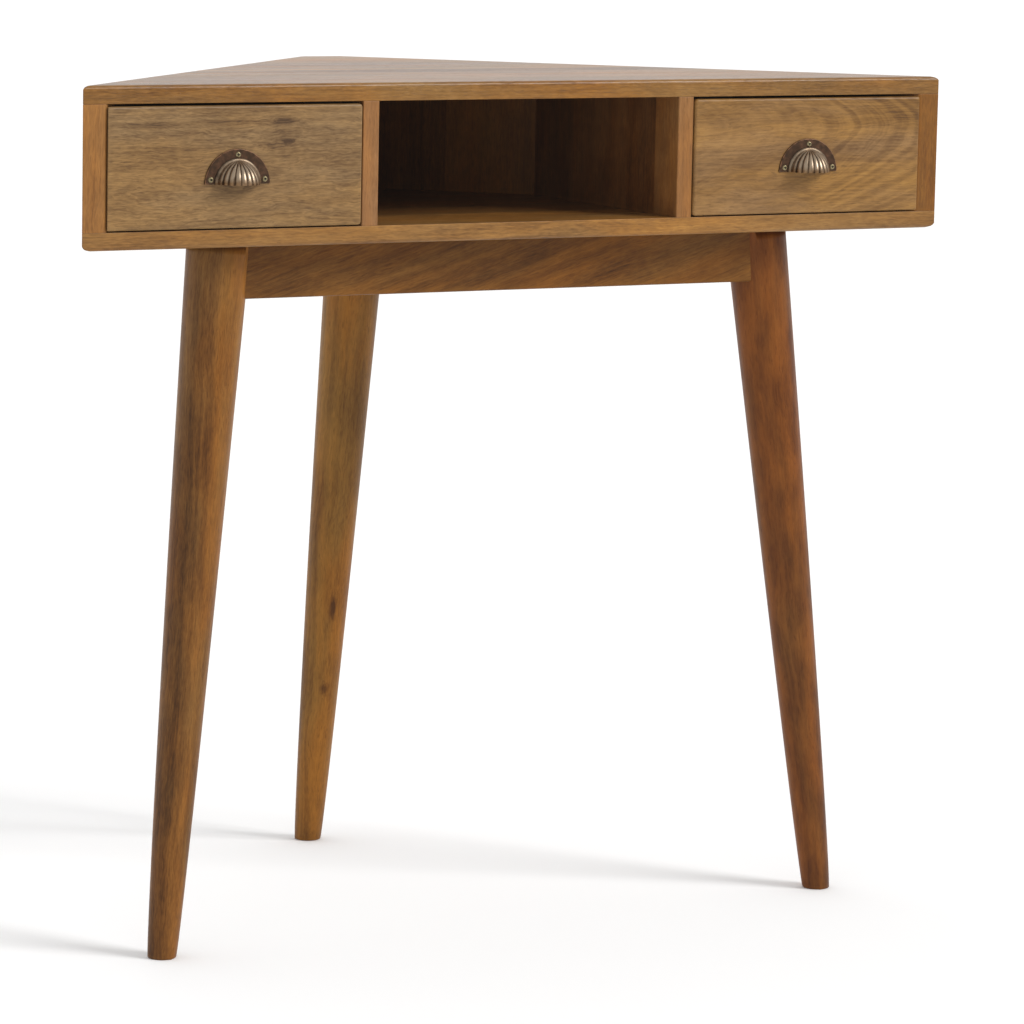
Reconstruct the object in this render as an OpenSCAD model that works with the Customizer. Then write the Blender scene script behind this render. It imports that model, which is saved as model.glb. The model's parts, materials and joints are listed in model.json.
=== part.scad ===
// Corner writing desk: a right-angled triangular box on three splayed, turned legs,
// with an open cubby between two inset drawers that have fluted cup pulls.
// X runs along the front edge, +Y points into the room's corner and +Z is up.

/* [Overall] */
// Width of the front edge
front_w = 880; // [860:10:920]
// Height from the floor to the top surface
desk_h = 774; // [740:1:800]
// Width of the flat that cuts off the back corner
back_flat_w = 44; // [40:2:56]

/* [Box] */
// Thickness of the top and bottom boards
board_t = 16; // [15:1:18]
// Thickness of the side panels and dividers
panel_t = 16; // [15:1:18]
// Height of the box, from its underside to the top surface
box_h = 142; // [138:1:150]
// Clear width of the open cubby
cubby_w = 308; // [296:2:320]

/* [Drawers] */
// Gap between a drawer front and the opening at its sides and bottom
front_gap = 1.2; // [1:0.1:1.8]
// Gap above a drawer front
top_gap = 2.2; // [1.8:0.1:3]
// How far a drawer front stands out from the front of the box
front_proud = 2; // [0:0.5:3]
// Thickness of a drawer front
drawer_front_t = 16; // [15:1:18]
// Thickness of the drawer sides and back
drawer_side_t = 12; // [10:1:13]
// Depth from the drawer's front edge to the back of its box
drawer_d = 172; // [160:2:176]
// Height of the drawer sides
drawer_side_h = 91; // [84:1:92]

/* [Pulls] */
// Radius of a pull's half-round flange
flange_r = 31.5; // [30:0.5:34]
// Radius of a pull's cup where it meets the flange
cup_r = 21.5; // [20:0.5:22]
// Height of the cup
cup_h = 23.5; // [22:0.5:25]

/* [Frame and legs] */
// Height of the aprons
apron_h = 50; // [46:1:56]
// Thickness of the aprons
apron_t = 20; // [18:1:21]
// Distance from the front edge back to the front apron
apron_set_back = 42; // [40:1:43]
// Diameter of a leg at its top
leg_top_d = 57; // [55:0.5:60]
// Diameter of a leg at the floor
leg_foot_d = 25.5; // [24:0.5:30]
// How strongly the legs swell: 1 is a straight taper
leg_curve = 0.75; // [0.6:0.05:1]
// Sideways splay of a front leg, from its top to the floor
front_splay_x = 66; // [50:1:70]
// Forward splay of a front leg
front_splay_y = 37; // [25:1:40]
// Backward splay of the back leg
back_splay = 87; // [70:1:88]

/* [Hidden] */

// Colours of the waxed mango wood and of the metal
honey = [0.66, 0.49, 0.31];
pale_honey = [0.70, 0.53, 0.36];
olive_brown = [0.58, 0.47, 0.32];
gold_brown = [0.66, 0.48, 0.27];
dark_brown = [0.42, 0.29, 0.19];
red_brown = [0.50, 0.32, 0.19];
birch = [0.80, 0.70, 0.54];
bronze = [0.40, 0.35, 0.31];
brass = [0.62, 0.52, 0.32];
steel = [0.66, 0.66, 0.67];

// Plan of the box. The two side walls run at 45 degrees and would meet at [0, half_w].
half_w = front_w / 2;
box_d = half_w - back_flat_w / 2;
wall_x = panel_t * sqrt(2);
wall_in = half_w - wall_x;
corner_y = box_d - panel_t;
divider_in = cubby_w / 2;
divider_out = divider_in + panel_t;
leg_h = desk_h - box_h;
floor_z = leg_h + board_t;
ceiling_z = desk_h - board_t;

// Dowels that join the panels to the boards
dowel_d = 8;
dowel_in_board = 10;
dowel_in_panel = 18;
dowel_l = dowel_in_board + dowel_in_panel;
divider_shares = [0.16, 0.84];
wall_shares = [0.12, 0.5, 0.88];
corner_dowel_x = 12;
divider_dowels = [for (t = divider_shares) [divider_in + panel_t / 2, t * (wall_in - divider_out)]];
wall_dowels = [for (t = wall_shares) [half_w - wall_x / 2 - t * corner_y, t * corner_y]];
corner_dowels = [[corner_dowel_x, corner_y + panel_t / 2]];

// Drawers, laid out for the right-hand one
front_y = -front_proud;
drawer_x = divider_out + front_gap;
drawer_y = front_y + drawer_front_t;
back_y = drawer_d - drawer_side_t;
side_lift = 1.5;
side_z = floor_z + side_lift;
outer_gap = 5;
tray_lift = 10;
tray_z = floor_z + tray_lift;
tray_t = 4;
groove = 5;
back_gap = 3.5;
back_top = ceiling_z - back_gap;

// Blocks and rails that stop and guide the drawers
stop_w = 36;
stop_h = 7;
stop_gap = 0.5;
stop_y = drawer_y + stop_gap;
stop_d = 14;
guide_h = 8;
guide_gap = 1.5;
guide_x = drawer_x + drawer_side_t + guide_gap;
guide_w = 14;
guide_end_gap = 18;
guide_l = wall_in - guide_x - guide_w - drawer_y - guide_end_gap;

// Pulls, set in the middle of the drawer fronts
pull_x = (divider_out + wall_in) / 2;
flange_cut = 1;
flange_h = flange_r - flange_cut;
flange_t = 1.6;
cup_wall = 1.5;
pull_z = (floor_z + ceiling_z - flange_h) / 2;
pull_screw_r = (flange_r + cup_r) / 2;
pull_screw_angles = [11, 90, 169];
pull_screw_d = 2.8;
pull_screw_l = 12;
pull_head_d = 5.2;
pull_head_top_d = 3.1;
pull_head_h = 1.5;

// Legs: plan positions of each leg's axis at the top and at the floor
front_leg_inset = [161, 63];
back_leg_inset = 85;
front_top = [half_w - front_leg_inset[0], front_leg_inset[1]];
front_foot = [front_top[0] + front_splay_x, front_top[1] - front_splay_y];
back_top_xy = [0, box_d - back_leg_inset];
back_foot = [0, back_top_xy[1] + back_splay];
leg_steps = 14;
trim = 10;
cut_w = 300;

// Aprons with tenons, corner braces and their hardware
rail_z = leg_h - apron_h;
tenon_t = 10;
tenon_h = 30;
apron_end = 6;
tenon_from = 14;
tenon_to = 45;
brace_h = 32;
front_brace = [34, 58];
back_brace_span = [24, 46];
bolt_d = 8;
bolt_z = leg_h - brace_h / 2;
bolt_in_leg = 3;
bolt_past_nut = 3;
washer_d = 18;
washer_t = 1.6;
nut_h = 6.5;
nut_across_flats = 13;
screw_d = 4;
screw_head_d = 8.4;
screw_in_board = 11;
screw_l = brace_h + screw_in_board;
front_screw_spread = 11;
back_screw_spread = 20;

// The origin is on the floor, under the middle of the whole desk's outline
tilt_back = atan(back_splay / leg_h);
rear_y = back_foot[1] + leg_foot_d / 2 / cos(tilt_back);
mid_y = (rear_y + front_y - cup_r) / 2;

$fn = 72;

function both(points) = concat(points, [for (p = points) [-p[0], p[1]]]);
function axis_at(top, foot, z) = foot + (top - foot) * z / leg_h;
function leg_r(t) = (leg_foot_d + (leg_top_d - leg_foot_d) * pow(t, leg_curve)) / 2;
function heading(v) = atan2(v[1], v[0]);
function along(a) = [cos(a), sin(a)];
function cross2(u, v) = u[0] * v[1] - u[1] * v[0];
// Where the line through p along u meets the line through q along v
function meet(p, u, q, v) = p + u * cross2(q - p, v) / cross2(u, v);

module placed() translate([0, -mid_y, 0]) children();
module sided(side) mirror([side < 0 ? 1 : 0, 0, 0]) children();
module slab(points, z, h) translate([0, 0, z]) linear_extrude(h) polygon(points);

// ---- Box ----

module dowels_at(points) {
    for (p = points) {
        translate([p[0], p[1], floor_z - dowel_in_board]) cylinder(d = dowel_d, h = dowel_l);
        translate([p[0], p[1], ceiling_z - dowel_in_panel]) cylinder(d = dowel_d, h = dowel_l);
    }
}

module all_dowels() dowels_at(both(concat(divider_dowels, wall_dowels, corner_dowels)));

module board(z) {
    flat = back_flat_w / 2;
    outline = [[-half_w, 0], [half_w, 0], [flat, box_d], [-flat, box_d]];
    slab(outline, z, board_t);
}

module top_board() placed() color(honey) difference() {
    board(ceiling_z);
    all_dowels();
}

module bottom_board() placed() color(honey) difference() {
    board(leg_h);
    all_dowels();
    frame_screw_set();
}

module upright(points) slab(points, floor_z, ceiling_z - floor_z);

module side_panel(side) placed() color(pale_honey) sided(side) difference() {
    upright([
        [half_w, 0], [half_w - corner_y, corner_y],
        [wall_in - corner_y, corner_y], [wall_in, 0]
    ]);
    dowels_at(wall_dowels);
}

module back_corner_block() placed() color(pale_honey) difference() {
    wide = half_w - corner_y;
    flat = back_flat_w / 2;
    upright([[-wide, corner_y], [wide, corner_y], [flat, box_d], [-flat, box_d]]);
    dowels_at(both(corner_dowels));
}

module divider(side) placed() color(pale_honey) sided(side) difference() {
    upright([
        [divider_in, 0], [divider_out, 0],
        [divider_out, wall_in - divider_out], [divider_in, wall_in - divider_in]
    ]);
    dowels_at(divider_dowels);
}

module carcass_dowels() placed() color(birch) all_dowels();

// A rail on the box's floor keeps the drawer's inner side against the divider
module drawer_guide(side) placed() color(birch) sided(side)
    translate([guide_x, stop_y, floor_z]) cube([guide_w, guide_l, guide_h]);

// A block under the top holds the drawer front when shut and catches the back when open
module drawer_stop(side) placed() color(birch) sided(side)
    translate([guide_x, stop_y, ceiling_z - stop_h]) cube([stop_w, stop_d, stop_h]);

// ---- Drawers ----

// X of the drawer's outer face at depth y, a given gap inside the 45 degree wall
function outer_x(y, gap) = wall_in - gap * sqrt(2) - y;

module tray() {
    reach = outer_gap + drawer_side_t - groove;
    slab([
        [drawer_x + drawer_side_t - groove, drawer_y - groove],
        [outer_x(drawer_y - groove, reach), drawer_y - groove],
        [outer_x(drawer_d, reach), drawer_d],
        [drawer_x + drawer_side_t - groove, drawer_d]
    ], tray_z, tray_t);
}

module drawer_front(side, tone) placed() color(tone) sided(side) difference() {
    slab([
        [drawer_x, front_y], [outer_x(front_y, front_gap), front_y],
        [outer_x(drawer_y, front_gap), drawer_y], [drawer_x, drawer_y]
    ], floor_z + front_gap, ceiling_z - top_gap - floor_z - front_gap);
    tray();
    pull_screw_set();
}

module drawer_inner_side(side) placed() color(birch) sided(side) difference() {
    translate([drawer_x, drawer_y, side_z]) cube([drawer_side_t, drawer_d - drawer_y, drawer_side_h]);
    tray();
}

module drawer_outer_side(side) placed() color(birch) sided(side) difference() {
    inner = outer_gap + drawer_side_t;
    slab([
        [outer_x(drawer_y, outer_gap), drawer_y], [outer_x(drawer_d, outer_gap), drawer_d],
        [outer_x(drawer_d, inner), drawer_d], [outer_x(drawer_y, inner), drawer_y]
    ], side_z, drawer_side_h);
    tray();
}

module drawer_back(side) placed() color(birch) sided(side) {
    inner = outer_gap + drawer_side_t;
    left = drawer_x + drawer_side_t;
    bottom = tray_z + tray_t;
    slab([
        [left, back_y], [outer_x(back_y, inner), back_y],
        [outer_x(drawer_d, inner), drawer_d], [left, drawer_d]
    ], bottom, back_top - bottom);
}

module drawer_bottom(side) placed() color(birch) sided(side) tray();

// ---- Pulls ----

module at_pull() translate([pull_x, front_y, pull_z - flange_cut]) children();

module pull_screw_set() at_pull() for (a = pull_screw_angles) {
    translate([pull_screw_r * cos(a), -flange_t, pull_screw_r * sin(a)]) rotate([-90, 0, 0]) {
        cylinder(d = pull_screw_d, h = pull_screw_l);
        translate([0, 0, -pull_head_h]) cylinder(d1 = pull_head_top_d, d2 = pull_head_d, h = pull_head_h);
    }
}

module half_ellipse_ring() {
    steps = 12;
    outer = [for (i = [0 : steps]) let (a = 90 * i / steps) [cup_r * cos(a), cup_h * sin(a)]];
    inner_r = cup_r - cup_wall;
    inner_h = cup_h - cup_wall;
    inner = [for (i = [steps : -1 : 0]) let (a = 90 * i / steps) [inner_r * cos(a), inner_h * sin(a)]];
    polygon(concat(outer, inner));
}

module flange() rotate([90, 0, 0]) linear_extrude(flange_t) difference() {
    intersection() {
        circle(r = flange_r);
        translate([-flange_r, flange_cut]) square([2 * flange_r, flange_r]);
    }
    circle(r = cup_r - cup_wall);
}

module pull_cup(side) placed() color(bronze) sided(side) difference() {
    at_pull() {
        flange();
        translate([0, 0, flange_cut]) rotate([0, 0, 180]) rotate_extrude(angle = 180) half_ellipse_ring();
    }
    pull_screw_set();
}

module pull_screws(side) placed() color(brass) sided(side) pull_screw_set();

// ---- Legs ----

// The turned leg before its ends are cut level
module turned_leg(top, foot) {
    lean = top - foot;
    length = norm([lean[0], lean[1], leg_h]);
    side_points = [for (i = [0 : leg_steps]) [leg_r(i / leg_steps), length * i / leg_steps]];
    profile = concat(
        [[0, -trim], [leg_r(0), -trim]], side_points,
        [[leg_r(1), length + trim], [0, length + trim]]
    );
    translate([foot[0], foot[1], 0]) rotate([0, acos(leg_h / length), heading(lean)])
        rotate_extrude() polygon(profile);
}

module cut_level(foot) intersection() {
    children();
    translate([foot[0] - cut_w / 2, foot[1] - cut_w / 2, 0]) cube([cut_w, cut_w, leg_h]);
}

module turned_front_leg() turned_leg(front_top, front_foot);
module turned_back_leg() turned_leg(back_top_xy, back_foot);

module front_leg(side) placed() color(red_brown) sided(side) difference() {
    cut_level(front_foot) turned_front_leg();
    front_tenon();
    side_tenons();
    front_bolt();
}

module back_leg() placed() color(red_brown) difference() {
    cut_level(back_foot) turned_back_leg();
    side_tenons();
    sided(-1) side_tenons();
    back_bolt();
}

// ---- Aprons ----

tenon_mid_z = leg_h - apron_h / 2;
front_axis = axis_at(front_top, front_foot, tenon_mid_z);
back_axis = axis_at(back_top_xy, back_foot, tenon_mid_z);
side_run = back_axis - front_axis;
side_len = norm(side_run);
side_angle = heading(side_run);

module tenon_block(x) translate([x, -tenon_t / 2, tenon_mid_z - tenon_h / 2])
    cube([tenon_to - tenon_from, tenon_t, tenon_h]);

module in_side_apron() translate([front_axis[0], front_axis[1], 0]) rotate(side_angle) children();

module side_tenons() in_side_apron() {
    tenon_block(tenon_from);
    tenon_block(side_len - tenon_to);
}

module front_tenon() translate([front_axis[0] - tenon_to, apron_set_back + apron_t / 2, 0])
    tenon_block(0);

module side_apron(side) placed() color(dark_brown) sided(side) {
    difference() {
        in_side_apron() translate([apron_end, -apron_t / 2, rail_z])
            cube([side_len - 2 * apron_end, apron_t, apron_h]);
        turned_front_leg();
        turned_back_leg();
    }
    side_tenons();
}

module front_apron() placed() color(dark_brown) {
    difference() {
        translate([-front_axis[0], apron_set_back, rail_z]) cube([2 * front_axis[0], apron_t, apron_h]);
        turned_front_leg();
        sided(-1) turned_front_leg();
    }
    front_tenon();
    sided(-1) front_tenon();
}

// ---- Corner braces and hardware ----

// Each brace is a wedge between two aprons, laid out from the corner where their
// inner faces would meet, along the line that halves the angle between them.
inner_face = front_axis - along(side_angle - 90) * apron_t / 2;
front_apex = meet([0, apron_set_back + apron_t], [1, 0], inner_face, along(side_angle));
front_half_angle = (180 - side_angle) / 2;
back_apex = meet([0, 0], [0, 1], inner_face, along(side_angle));
back_half_angle = side_angle - 90;

module at_front_apex() translate([front_apex[0], front_apex[1], 0]) rotate(180 - front_half_angle) children();
module at_back_apex() translate([back_apex[0], back_apex[1], 0]) rotate(-90) children();

module wedge(span, half_angle) slab([
    [span[0], -span[0] * tan(half_angle)], [span[1], -span[1] * tan(half_angle)],
    [span[1], span[1] * tan(half_angle)], [span[0], span[0] * tan(half_angle)]
], leg_h - brace_h, brace_h);

// A bolt runs from inside the leg, through the brace, and just past its nut
module bolt(span) translate([-bolt_in_leg, 0, bolt_z]) rotate([0, 90, 0])
    cylinder(d = bolt_d, h = bolt_in_leg + span[1] + washer_t + nut_h + bolt_past_nut);

module frame_screw(x, y) translate([x, y, leg_h - brace_h]) {
    cylinder(d = screw_d, h = screw_l);
    cylinder(d1 = screw_head_d, d2 = screw_d, h = (screw_head_d - screw_d) / 2);
}

module screw_pair(span, spread) for (s = [-1, 1]) frame_screw((span[0] + span[1]) / 2, s * spread);

module front_bolt() at_front_apex() bolt(front_brace);
module back_bolt() at_back_apex() bolt(back_brace_span);
module front_screws() at_front_apex() screw_pair(front_brace, front_screw_spread);
module back_screws() at_back_apex() screw_pair(back_brace_span, back_screw_spread);

module frame_screw_set() {
    front_screws();
    sided(-1) front_screws();
    back_screws();
}

module front_brace_block(side) placed() color(birch) sided(side) difference() {
    at_front_apex() wedge(front_brace, front_half_angle);
    front_bolt();
    front_screws();
}

module back_brace() placed() color(birch) difference() {
    at_back_apex() wedge(back_brace_span, back_half_angle);
    back_bolt();
    back_screws();
}

module leg_bolts() placed() color(steel) {
    front_bolt();
    sided(-1) front_bolt();
    back_bolt();
}

module ring(x, h, d, sides) translate([x, 0, bolt_z]) rotate([0, 90, 0]) difference() {
    cylinder(d = d, h = h, $fn = sides);
    translate([0, 0, -1]) cylinder(d = bolt_d, h = h + 2);
}

module washer(span) ring(span[1], washer_t, washer_d, $fn);
module nut(span) ring(span[1] + washer_t, nut_h, nut_across_flats / cos(30), 6);

module leg_washers() placed() color(steel) {
    for (side = [-1, 1]) sided(side) at_front_apex() washer(front_brace);
    at_back_apex() washer(back_brace_span);
}

module leg_nuts() placed() color(steel) {
    for (side = [-1, 1]) sided(side) at_front_apex() nut(front_brace);
    at_back_apex() nut(back_brace_span);
}

module frame_screws() placed() color(steel) frame_screw_set();

top_board();
bottom_board();
side_panel(-1);  // left_side_panel
side_panel(1);  // right_side_panel
back_corner_block();
divider(-1);  // left_divider
divider(1);  // right_divider
carcass_dowels();
drawer_guide(-1);  // left_drawer_guide
drawer_guide(1);  // right_drawer_guide
drawer_stop(-1);  // left_drawer_stop
drawer_stop(1);  // right_drawer_stop
front_apron();
side_apron(-1);  // left_apron
side_apron(1);  // right_apron
front_leg(-1);  // front_left_leg
front_leg(1);  // front_right_leg
back_leg();
front_brace_block(-1);  // front_left_brace
front_brace_block(1);  // front_right_brace
back_brace();
leg_bolts();
leg_washers();
leg_nuts();
frame_screws();
drawer_front(-1, olive_brown);  // left_drawer_front
drawer_inner_side(-1);  // left_drawer_inner_side
drawer_outer_side(-1);  // left_drawer_outer_side
drawer_back(-1);  // left_drawer_back
drawer_bottom(-1);  // left_drawer_bottom
pull_cup(-1);  // left_pull_cup
pull_screws(-1);  // left_pull_screws
drawer_front(1, gold_brown);  // right_drawer_front
drawer_inner_side(1);  // right_drawer_inner_side
drawer_outer_side(1);  // right_drawer_outer_side
drawer_back(1);  // right_drawer_back
drawer_bottom(1);  // right_drawer_bottom
pull_cup(1);  // right_pull_cup
pull_screws(1);  // right_pull_screws
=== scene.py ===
"""The looks of a triangular corner desk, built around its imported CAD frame.

Each board becomes a softened prism, each leg is turned again with a finer curve, and the pulls get
their flutes. All wood comes from one solid texture of rings, streaks, fibres, pores and worn edges.
"""

import json
import math

import bmesh
import bpy
from mathutils import Matrix, Vector


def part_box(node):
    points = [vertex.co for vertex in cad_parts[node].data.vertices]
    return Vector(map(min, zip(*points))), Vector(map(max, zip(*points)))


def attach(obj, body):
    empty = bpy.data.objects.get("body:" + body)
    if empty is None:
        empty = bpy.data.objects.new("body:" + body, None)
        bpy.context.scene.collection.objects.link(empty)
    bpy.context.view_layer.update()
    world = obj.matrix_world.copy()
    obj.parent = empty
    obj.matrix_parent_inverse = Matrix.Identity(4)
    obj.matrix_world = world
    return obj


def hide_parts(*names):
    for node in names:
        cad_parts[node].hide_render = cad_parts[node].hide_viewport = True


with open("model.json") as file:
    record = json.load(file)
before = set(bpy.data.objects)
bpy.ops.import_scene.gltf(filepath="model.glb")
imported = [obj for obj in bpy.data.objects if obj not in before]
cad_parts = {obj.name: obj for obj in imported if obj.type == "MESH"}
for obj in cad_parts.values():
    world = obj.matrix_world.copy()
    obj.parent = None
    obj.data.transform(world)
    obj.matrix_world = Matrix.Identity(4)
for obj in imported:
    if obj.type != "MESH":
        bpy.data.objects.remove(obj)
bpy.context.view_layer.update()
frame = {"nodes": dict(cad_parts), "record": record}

MM = 0.001
RIGHT = Vector((1, 0, 0))
FRONT = Vector((0, -1, 0))
BACK = Vector((0, 1, 0))
DOWN = Vector((0, 0, -1))
UP = Vector((0, 0, 1))

# The camera stands to the left, well in front of the front edge, and looks down a little
FRONT_EDGE_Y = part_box("top_board")[0].y
CAMERA_PLACE = Vector((-2.1432, FRONT_EDGE_Y - 3.7679, 1.0114))
CAMERA_YAW = math.radians(29.4934)
CAMERA_PITCH = math.radians(8.2340)
CAMERA_ROLL = math.radians(1.1677)
CAMERA_LENS = 169.962
SENSOR_WIDTH = 36.0

# The little light that a lens scatters into the deepest shadows
LENS_HAZE = 0.004


# ---- Studio ----


def add_camera():
    data = bpy.data.cameras.new("camera")
    data.sensor_width = SENSOR_WIDTH
    data.lens = CAMERA_LENS
    data.clip_end = 200
    camera = bpy.data.objects.new("camera", data)
    level = Matrix.Rotation(-CAMERA_YAW, 4, "Z")
    tilt = Matrix.Rotation(math.pi / 2 - CAMERA_PITCH, 4, "X")
    roll = Matrix.Rotation(CAMERA_ROLL, 4, "Z")
    camera.matrix_world = Matrix.Translation(CAMERA_PLACE) @ level @ tilt @ roll
    bpy.context.scene.collection.objects.link(camera)
    bpy.context.scene.camera = camera


def add_sun(name, azimuth, elevation, strength, spread):
    """A broad, soft light. Azimuth is counted from the front, towards the right."""
    data = bpy.data.lights.new(name, "SUN")
    data.energy = strength
    data.angle = math.radians(spread)
    light = bpy.data.objects.new(name, data)
    turn, rise = math.radians(azimuth), math.radians(elevation)
    source = Vector((math.sin(turn) * math.cos(rise), -math.cos(turn) * math.cos(rise), math.sin(rise)))
    light.rotation_euler = source.to_track_quat("Z", "Y").to_euler()
    bpy.context.scene.collection.objects.link(light)


def add_world(front_light, back_light):
    """A pale room that is brighter behind the desk than in front of it."""
    world = bpy.data.worlds.new("studio")
    world.use_nodes = True
    nodes, links = world.node_tree.nodes, world.node_tree.links
    direction = nodes.new("ShaderNodeTexCoord")
    parts = nodes.new("ShaderNodeSeparateXYZ")
    level = nodes.new("ShaderNodeMapRange")
    level.interpolation_type = "SMOOTHSTEP"
    level.inputs["From Min"].default_value = -0.8
    level.inputs["From Max"].default_value = 0.5
    level.inputs["To Min"].default_value = front_light
    level.inputs["To Max"].default_value = back_light
    links.new(direction.outputs["Generated"], parts.inputs[0])
    links.new(parts.outputs["Y"], level.inputs["Value"])
    nodes["Background"].inputs["Color"].default_value = (1, 1, 1, 1)
    links.new(level.outputs["Result"], nodes["Background"].inputs["Strength"])
    bpy.context.scene.world = world


def add_floor():
    half = 70.0
    mesh = bpy.data.meshes.new("floor")
    corners = [(-half, -half, 0), (half, -half, 0), (half, half, 0), (-half, half, 0)]
    mesh.from_pydata(corners, [], [(0, 1, 2, 3)])
    floor = bpy.data.objects.new("floor", mesh)
    bpy.context.scene.collection.objects.link(floor)
    material = bpy.data.materials.new("floor")
    material.use_nodes = True
    surface = material.node_tree.nodes["Principled BSDF"]
    surface.inputs["Base Color"].default_value = (0.95, 0.95, 0.95, 1)
    surface.inputs["Roughness"].default_value = 0.9
    surface.inputs["Specular IOR Level"].default_value = 0.1
    mesh.materials.append(material)


def build_studio():
    add_camera()
    add_world(front_light=0.38, back_light=1.0)
    add_sun("key", azimuth=42, elevation=34, strength=2.0, spread=24)
    add_sun("fill", azimuth=-35, elevation=30, strength=0.3, spread=60)
    add_floor()
    view = bpy.context.scene.view_settings
    view.view_transform = "Standard"
    view.use_curve_mapping = True
    view.curve_mapping.black_level = (-LENS_HAZE, -LENS_HAZE, -LENS_HAZE)
    view.curve_mapping.update()


# ---- Shader tools ----


def rgba(colour):
    return (*colour, 1.0)


class Shader:
    """One node material, with short ways to add nodes."""

    def __init__(self, name):
        self.material = bpy.data.materials.new(name)
        self.material.use_nodes = True
        self.tree = self.material.node_tree
        self.surface = self.tree.nodes["Principled BSDF"]

    def feed(self, socket, value):
        if isinstance(value, bpy.types.NodeSocket):
            self.tree.links.new(value, socket)
        elif value is not None:
            socket.default_value = value

    def add(self, kind, *inputs, **settings):
        node = self.tree.nodes.new("ShaderNode" + kind)
        for key, value in settings.items():
            setattr(node, key, value)
        for socket, value in zip(node.inputs, inputs):
            self.feed(socket, value)
        return node

    def finish(self, **sockets):
        for name, value in sockets.items():
            self.feed(self.surface.inputs[name.replace("_", " ")], value)
        return self.material

    def place(self):
        return self.add("TexCoord").outputs["Object"]

    def attribute(self, name):
        return self.add("Attribute", attribute_name=name).outputs["Fac"]

    def math(self, operation, a, b=None):
        return self.add("Math", a, b, operation=operation).outputs[0]

    def sum(self, first, *others):
        for other in others:
            first = self.math("ADD", first, other)
        return first

    def times(self, a, b):
        return self.math("MULTIPLY", a, b)

    def dot(self, a, b):
        return self.add("VectorMath", a, b, operation="DOT_PRODUCT").outputs["Value"]

    def point(self, x, y, z):
        return self.add("CombineXYZ", x, y, z).outputs[0]

    def noise(self, place, scale=1.0, detail=2.0, roughness=0.5):
        return self.add("TexNoise", place, None, scale, detail, roughness).outputs[0]

    def line_noise(self, value, detail=2.0, roughness=0.5):
        node = self.add("TexNoise", None, value, 1.0, detail, roughness, noise_dimensions="1D")
        return node.outputs[0]

    def random(self, value):
        return self.add("TexWhiteNoise", None, value, noise_dimensions="1D").outputs["Value"]

    def ramp(self, value, low, high, start=0.0, end=1.0):
        """Turns low..high into start..end, smoothly and clamped."""
        node = self.add("MapRange", value, low, high, start, end, interpolation_type="SMOOTHSTEP")
        return node.outputs[0]

    def mix(self, factor, a, b, blend="MIX"):
        node = self.add("Mix", data_type="RGBA", blend_type=blend, clamp_factor=True)
        self.feed(node.inputs[0], factor)
        self.feed(node.inputs[6], rgba(a) if isinstance(a, tuple) else a)
        self.feed(node.inputs[7], rgba(b) if isinstance(b, tuple) else b)
        return node.outputs[2]

    def gradient(self, value, stops):
        node = self.add("ValToRGB", value)
        elements = node.color_ramp.elements
        while len(elements) < len(stops):
            elements.new(0.5)
        for element, (position, colour) in zip(elements, stops):
            element.position = position
            element.color = rgba(colour)
        return node.outputs["Color"]

    def glued_boards(self, place, boards):
        """The tone of each board, as steps across the place."""
        whole = sum(width for width, tone in boards)
        node = self.add("ValToRGB", self.math("DIVIDE", place, whole))
        node.color_ramp.interpolation = "CONSTANT"
        elements = node.color_ramp.elements
        while len(elements) < len(boards):
            elements.new(0.5)
        start = 0.0
        for element, (width, tone) in zip(elements, boards):
            element.position = start / whole
            element.color = rgba((tone + 0.5,) * 3)
            start += width
        return self.math("SUBTRACT", node.outputs["Color"], 0.5)

    def bump(self, height, strength, distance):
        return self.add("Bump", strength, distance, None, height).outputs[0]


# ---- Wood ----

# Noise along and across the grain, in waves per metre, and its levels of detail
RIPPLES = (42, 70, 2)
STREAKS = (2.5, 70, 3)
FIBRES = (22, 560, 2)
FLECKS = (120, 900, 2)
PORES = (90, 1300, 1)
HUES = (5, 24, 3)

# Shades of a wood's colour, from its darkest tone to its palest
TONES = (
    (0.0, (0.30, 0.26, 0.26)), (0.3, (0.72, 0.68, 0.66)), (0.5, (1.0, 1.0, 1.0)),
    (0.72, (1.28, 1.30, 1.30)), (1.0, (1.60, 1.70, 1.75)))
PORE_SHADE = (0.35, 0.30, 0.28)
GRIME_SHADE = (0.45, 0.40, 0.36)
RUBBED_SHADE = (1.45, 1.5, 1.5)
HEART_TINT = (0.98, 1.09, 1.50)
HEART_EDGE = 4 * MM
RINGS_FADE_IN = 0.07

# Each of the glued boards is cut from another place in the log, at most so far away
BOARD_SEED = 91.0
BOARD_SHIFT_ALONG = 7.0
BOARD_SHIFT_ASIDE = 0.3

# How the grain of a board looks. Lengths are in metres.
# Rings, streaks, fibres, flecks and blotches say how much each changes the tone. Gap is the space
# between growth rings, pith their centre beside and below the middle of the board, and taper how
# fast the rings open along the grain. The grain sways widely and ripples finely. Boards are the
# pieces glued side by side from the first edge on, each a width and a change of tone. Knots are
# dark spots: along, beside, length, width and darkness. Heart is where heartwood ends, beside the
# middle, and how much darker it is. Rings_from is where along the grain the rings begin to show,
# and slope how much paler the wood gets with each metre.
PLAIN = dict(
    rings=0.16, gap=0.007, pith=(0.03, 0.05), taper=0.03, sway=0.006, sway_length=0.25, ripple=0.0014,
    streaks=0.14, fibres=0.26, flecks=0.30, blotches=0.20, blotch_length=0.15, pores=0.4, boards=(),
    first_edge=0.0, seed=0.0, knots=(), heart=None, rings_from=None, slope=0.0, warmth=(1.10, 0.98, 0.72),
    hues=0.7, shine=0.40, gloss=0.25,
)


def look(**changes):
    return {**PLAIN, **changes}


def shade(colour, factors):
    return tuple(c * f for c, f in zip(colour, factors))


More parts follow.
